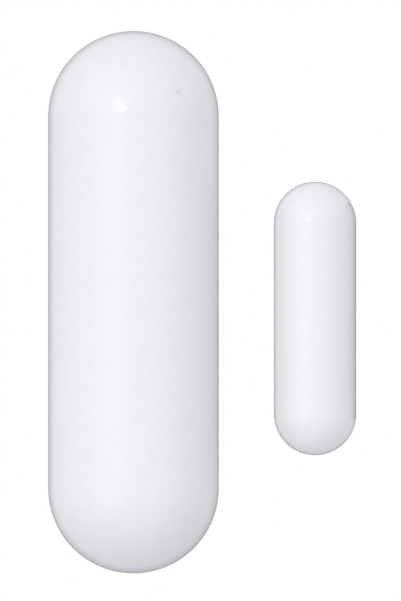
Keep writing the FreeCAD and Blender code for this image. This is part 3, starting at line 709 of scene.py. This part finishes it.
def make_cover(name, solid):
    """A copy of a cover without the pinched facets in front on its ball ends, which show as dents."""
    source = frame["nodes"][solid]
    mesh = source.data.copy()
    cover = link(bpy.data.objects.new(name, mesh))
    cover.matrix_world = source.matrix_world
    forward = source.matrix_world.to_3x3().inverted() @ Vector((0, -1, 0))
    depths = [(source.matrix_world @ vertex.co).y for vertex in mesh.vertices]
    foremost = min(depths) + SAME_PLACE
    facing = mesh.attributes.new("facing", "FLOAT_VECTOR", "CORNER").data
    for loop in mesh.loops:
        at_front = depths[loop.vertex_index] < foremost
        facing[loop.index].vector = forward if at_front else mesh.corner_normals[loop.index].vector
    shape = bmesh.new()
    shape.from_mesh(mesh)
    bmesh.ops.dissolve_degenerate(shape, edges=shape.edges, dist=SAME_PLACE)
    shape.to_mesh(mesh)
    shape.free()
    kept = mesh.attributes["facing"]
    mesh.normals_split_custom_set([tuple(corner.vector) for corner in kept.data])
    mesh.attributes.remove(mesh.attributes["facing"])
    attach(cover, "root")
    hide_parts(solid)


# Foam pads and their liners


def pill_outline(width, length):
    """Points round a pill from its right side over the top, each with its outward direction."""
    radius = width / 2
    straight = length / 2 - radius
    arc_steps = round(math.pi * radius / PAD_STEP)
    run_steps = round(2 * straight / PAD_STEP)
    half = []
    for i in range(arc_steps):
        angle = math.pi * i / arc_steps
        out = Vector((math.cos(angle), 0, math.sin(angle)))
        half.append((out * radius + Vector((0, 0, straight)), out))
    for i in range(run_steps):
        height = straight - 2 * straight * i / run_steps
        half.append((Vector((-radius, 0, height)), Vector((-1, 0, 0))))
    return half + [(-point, -out) for point, out in half]


def prism(shape, rows):
    """Closed skin through equal rings of points, with a smooth side and flat ends."""
    rings = [[shape.verts.new(point) for point in row] for row in rows]
    count = len(rings[0])
    shape.faces.new(rings[0])
    shape.faces.new(rings[-1][::-1])
    for near, far in zip(rings, rings[1:]):
        for i in range(count):
            j = (i + 1) % count
            face = shape.faces.new((near[i], far[i], far[j], near[j]))
            face.smooth = True


def make_pad(name, solid):
    """A foam pad that bulges between its two faces, with its cells cut open along its side."""
    low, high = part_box(solid)
    middle = (low + high) / 2
    outline = pill_outline(high.x - low.x, high.z - low.z)
    rows = []
    for k in range(PAD_ROWS + 1):
        share = k / PAD_ROWS
        depth = -LINER_THICKNESS + share * (low.y + LINER_THICKNESS)
        edge = PAD_EDGE_INSET * abs(2 * share - 1) ** PAD_EDGE_POWER
        row = []
        for point, out in outline:
            place = Vector((middle.x, depth, middle.z)) + point
            pit = max(0.0, smooth.noise(place / PAD_CELL)) if 0 < k < PAD_ROWS else 0.0
            row.append(place - out * (edge + PAD_CELL_DEPTH * pit))
        rows.append(row)
    shape = bmesh.new()
    prism(shape, rows)
    bmesh.ops.recalc_face_normals(shape, faces=shape.faces)
    pad = make_piece(name, shape, MATERIALS["foam"])
    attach(pad, "root")
    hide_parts(solid)


def make_liner(name, solid):
    """The paper over a pad's adhesive: two halves that meet at a wavy slit."""
    low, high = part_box(solid)
    width = high.x - low.x
    middle = Vector(((low.x + high.x) / 2, 0, (low.z + high.z) / 2))
    outline = [point - out * LINER_INSET for point, out in pill_outline(width, high.z - low.z)]
    reach = width / 2 - LINER_INSET

    def wave(x):
        return LINER_WAVE * math.sin(math.pi * x / reach)

    upper = [point for point in outline if point.z > wave(point.x) + LINER_SLIT]
    # The points begin after the widest gap, along which the slit then closes the half
    start = max(range(len(upper)), key=lambda i: (upper[i] - upper[i - 1]).length)
    upper = upper[start:] + upper[:start]
    steps = round(2 * reach / PAD_STEP)
    for i in range(steps + 1):
        x = -reach + 2 * reach * i / steps
        upper.append(Vector((x, 0, wave(x) + LINER_SLIT / 2)))
    shape = bmesh.new()
    for half in (upper, [-point for point in upper]):
        rows = []
        for y in (0, -LINER_THICKNESS):
            rows.append([middle + point + Vector((0, y, 0)) for point in half])
        prism(shape, rows)
    bmesh.ops.recalc_face_normals(shape, faces=shape.faces)
    paper = make_piece(name, shape, LINER)
    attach(paper, "root")


# Spring of the tamper plunger


def make_spring():
    """A coil with closed ends, in the place of the tamper spring."""
    low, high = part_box("tamper_spring")
    middle = (low + high) / 2
    radius = (high.x - low.x) / 2 - SPRING_WIRE_RADIUS
    start = low.y + SPRING_WIRE_RADIUS
    end = high.y - SPRING_WIRE_RADIUS
    rows = []
    for i in range(SPRING_STEPS + 1):
        turn = SPRING_TURNS * i / SPRING_STEPS
        rise = (turn - SPRING_CLOSED) / (SPRING_TURNS - 2 * SPRING_CLOSED)
        y = start + (end - start) * min(1.0, max(0.0, rise))
        angle = 2 * math.pi * turn
        out = Vector((math.cos(angle), 0, math.sin(angle)))
        ring = []
        for k in range(WIRE_SIDES):
            side = 2 * math.pi * k / WIRE_SIDES
            reach = radius + SPRING_WIRE_RADIUS * math.cos(side)
            on_axis = Vector((middle.x, y + SPRING_WIRE_RADIUS * math.sin(side), middle.z))
            ring.append(on_axis + out * reach)
        rows.append(ring)
    shape = bmesh.new()
    prism(shape, rows)
    bmesh.ops.recalc_face_normals(shape, faces=shape.faces)
    spring = make_piece("tamper_spring_coil", shape, MATERIALS["steel"])
    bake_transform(spring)
    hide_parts("tamper_spring")


make_camera()
make_world()
make_lights()
make_surround()
make_card()
make_floor()

for entry in frame["record"]["subparts"]:
    mesh = frame["nodes"][entry["node"]].data
    mesh.materials.clear()
    mesh.materials.append(MATERIALS[entry["material_slot"]])

make_cover("sensor_shell", "sensor_front_cover")
make_cover("magnet_shell", "magnet_front_cover")
make_pad("sensor_foam", "sensor_adhesive_pad")
make_liner("sensor_liner", "sensor_adhesive_pad")
make_pad("magnet_foam", "magnet_adhesive_pad")
make_liner("magnet_liner", "magnet_adhesive_pad")
make_spring()

bpy.context.scene.view_settings.view_transform = "Standard"
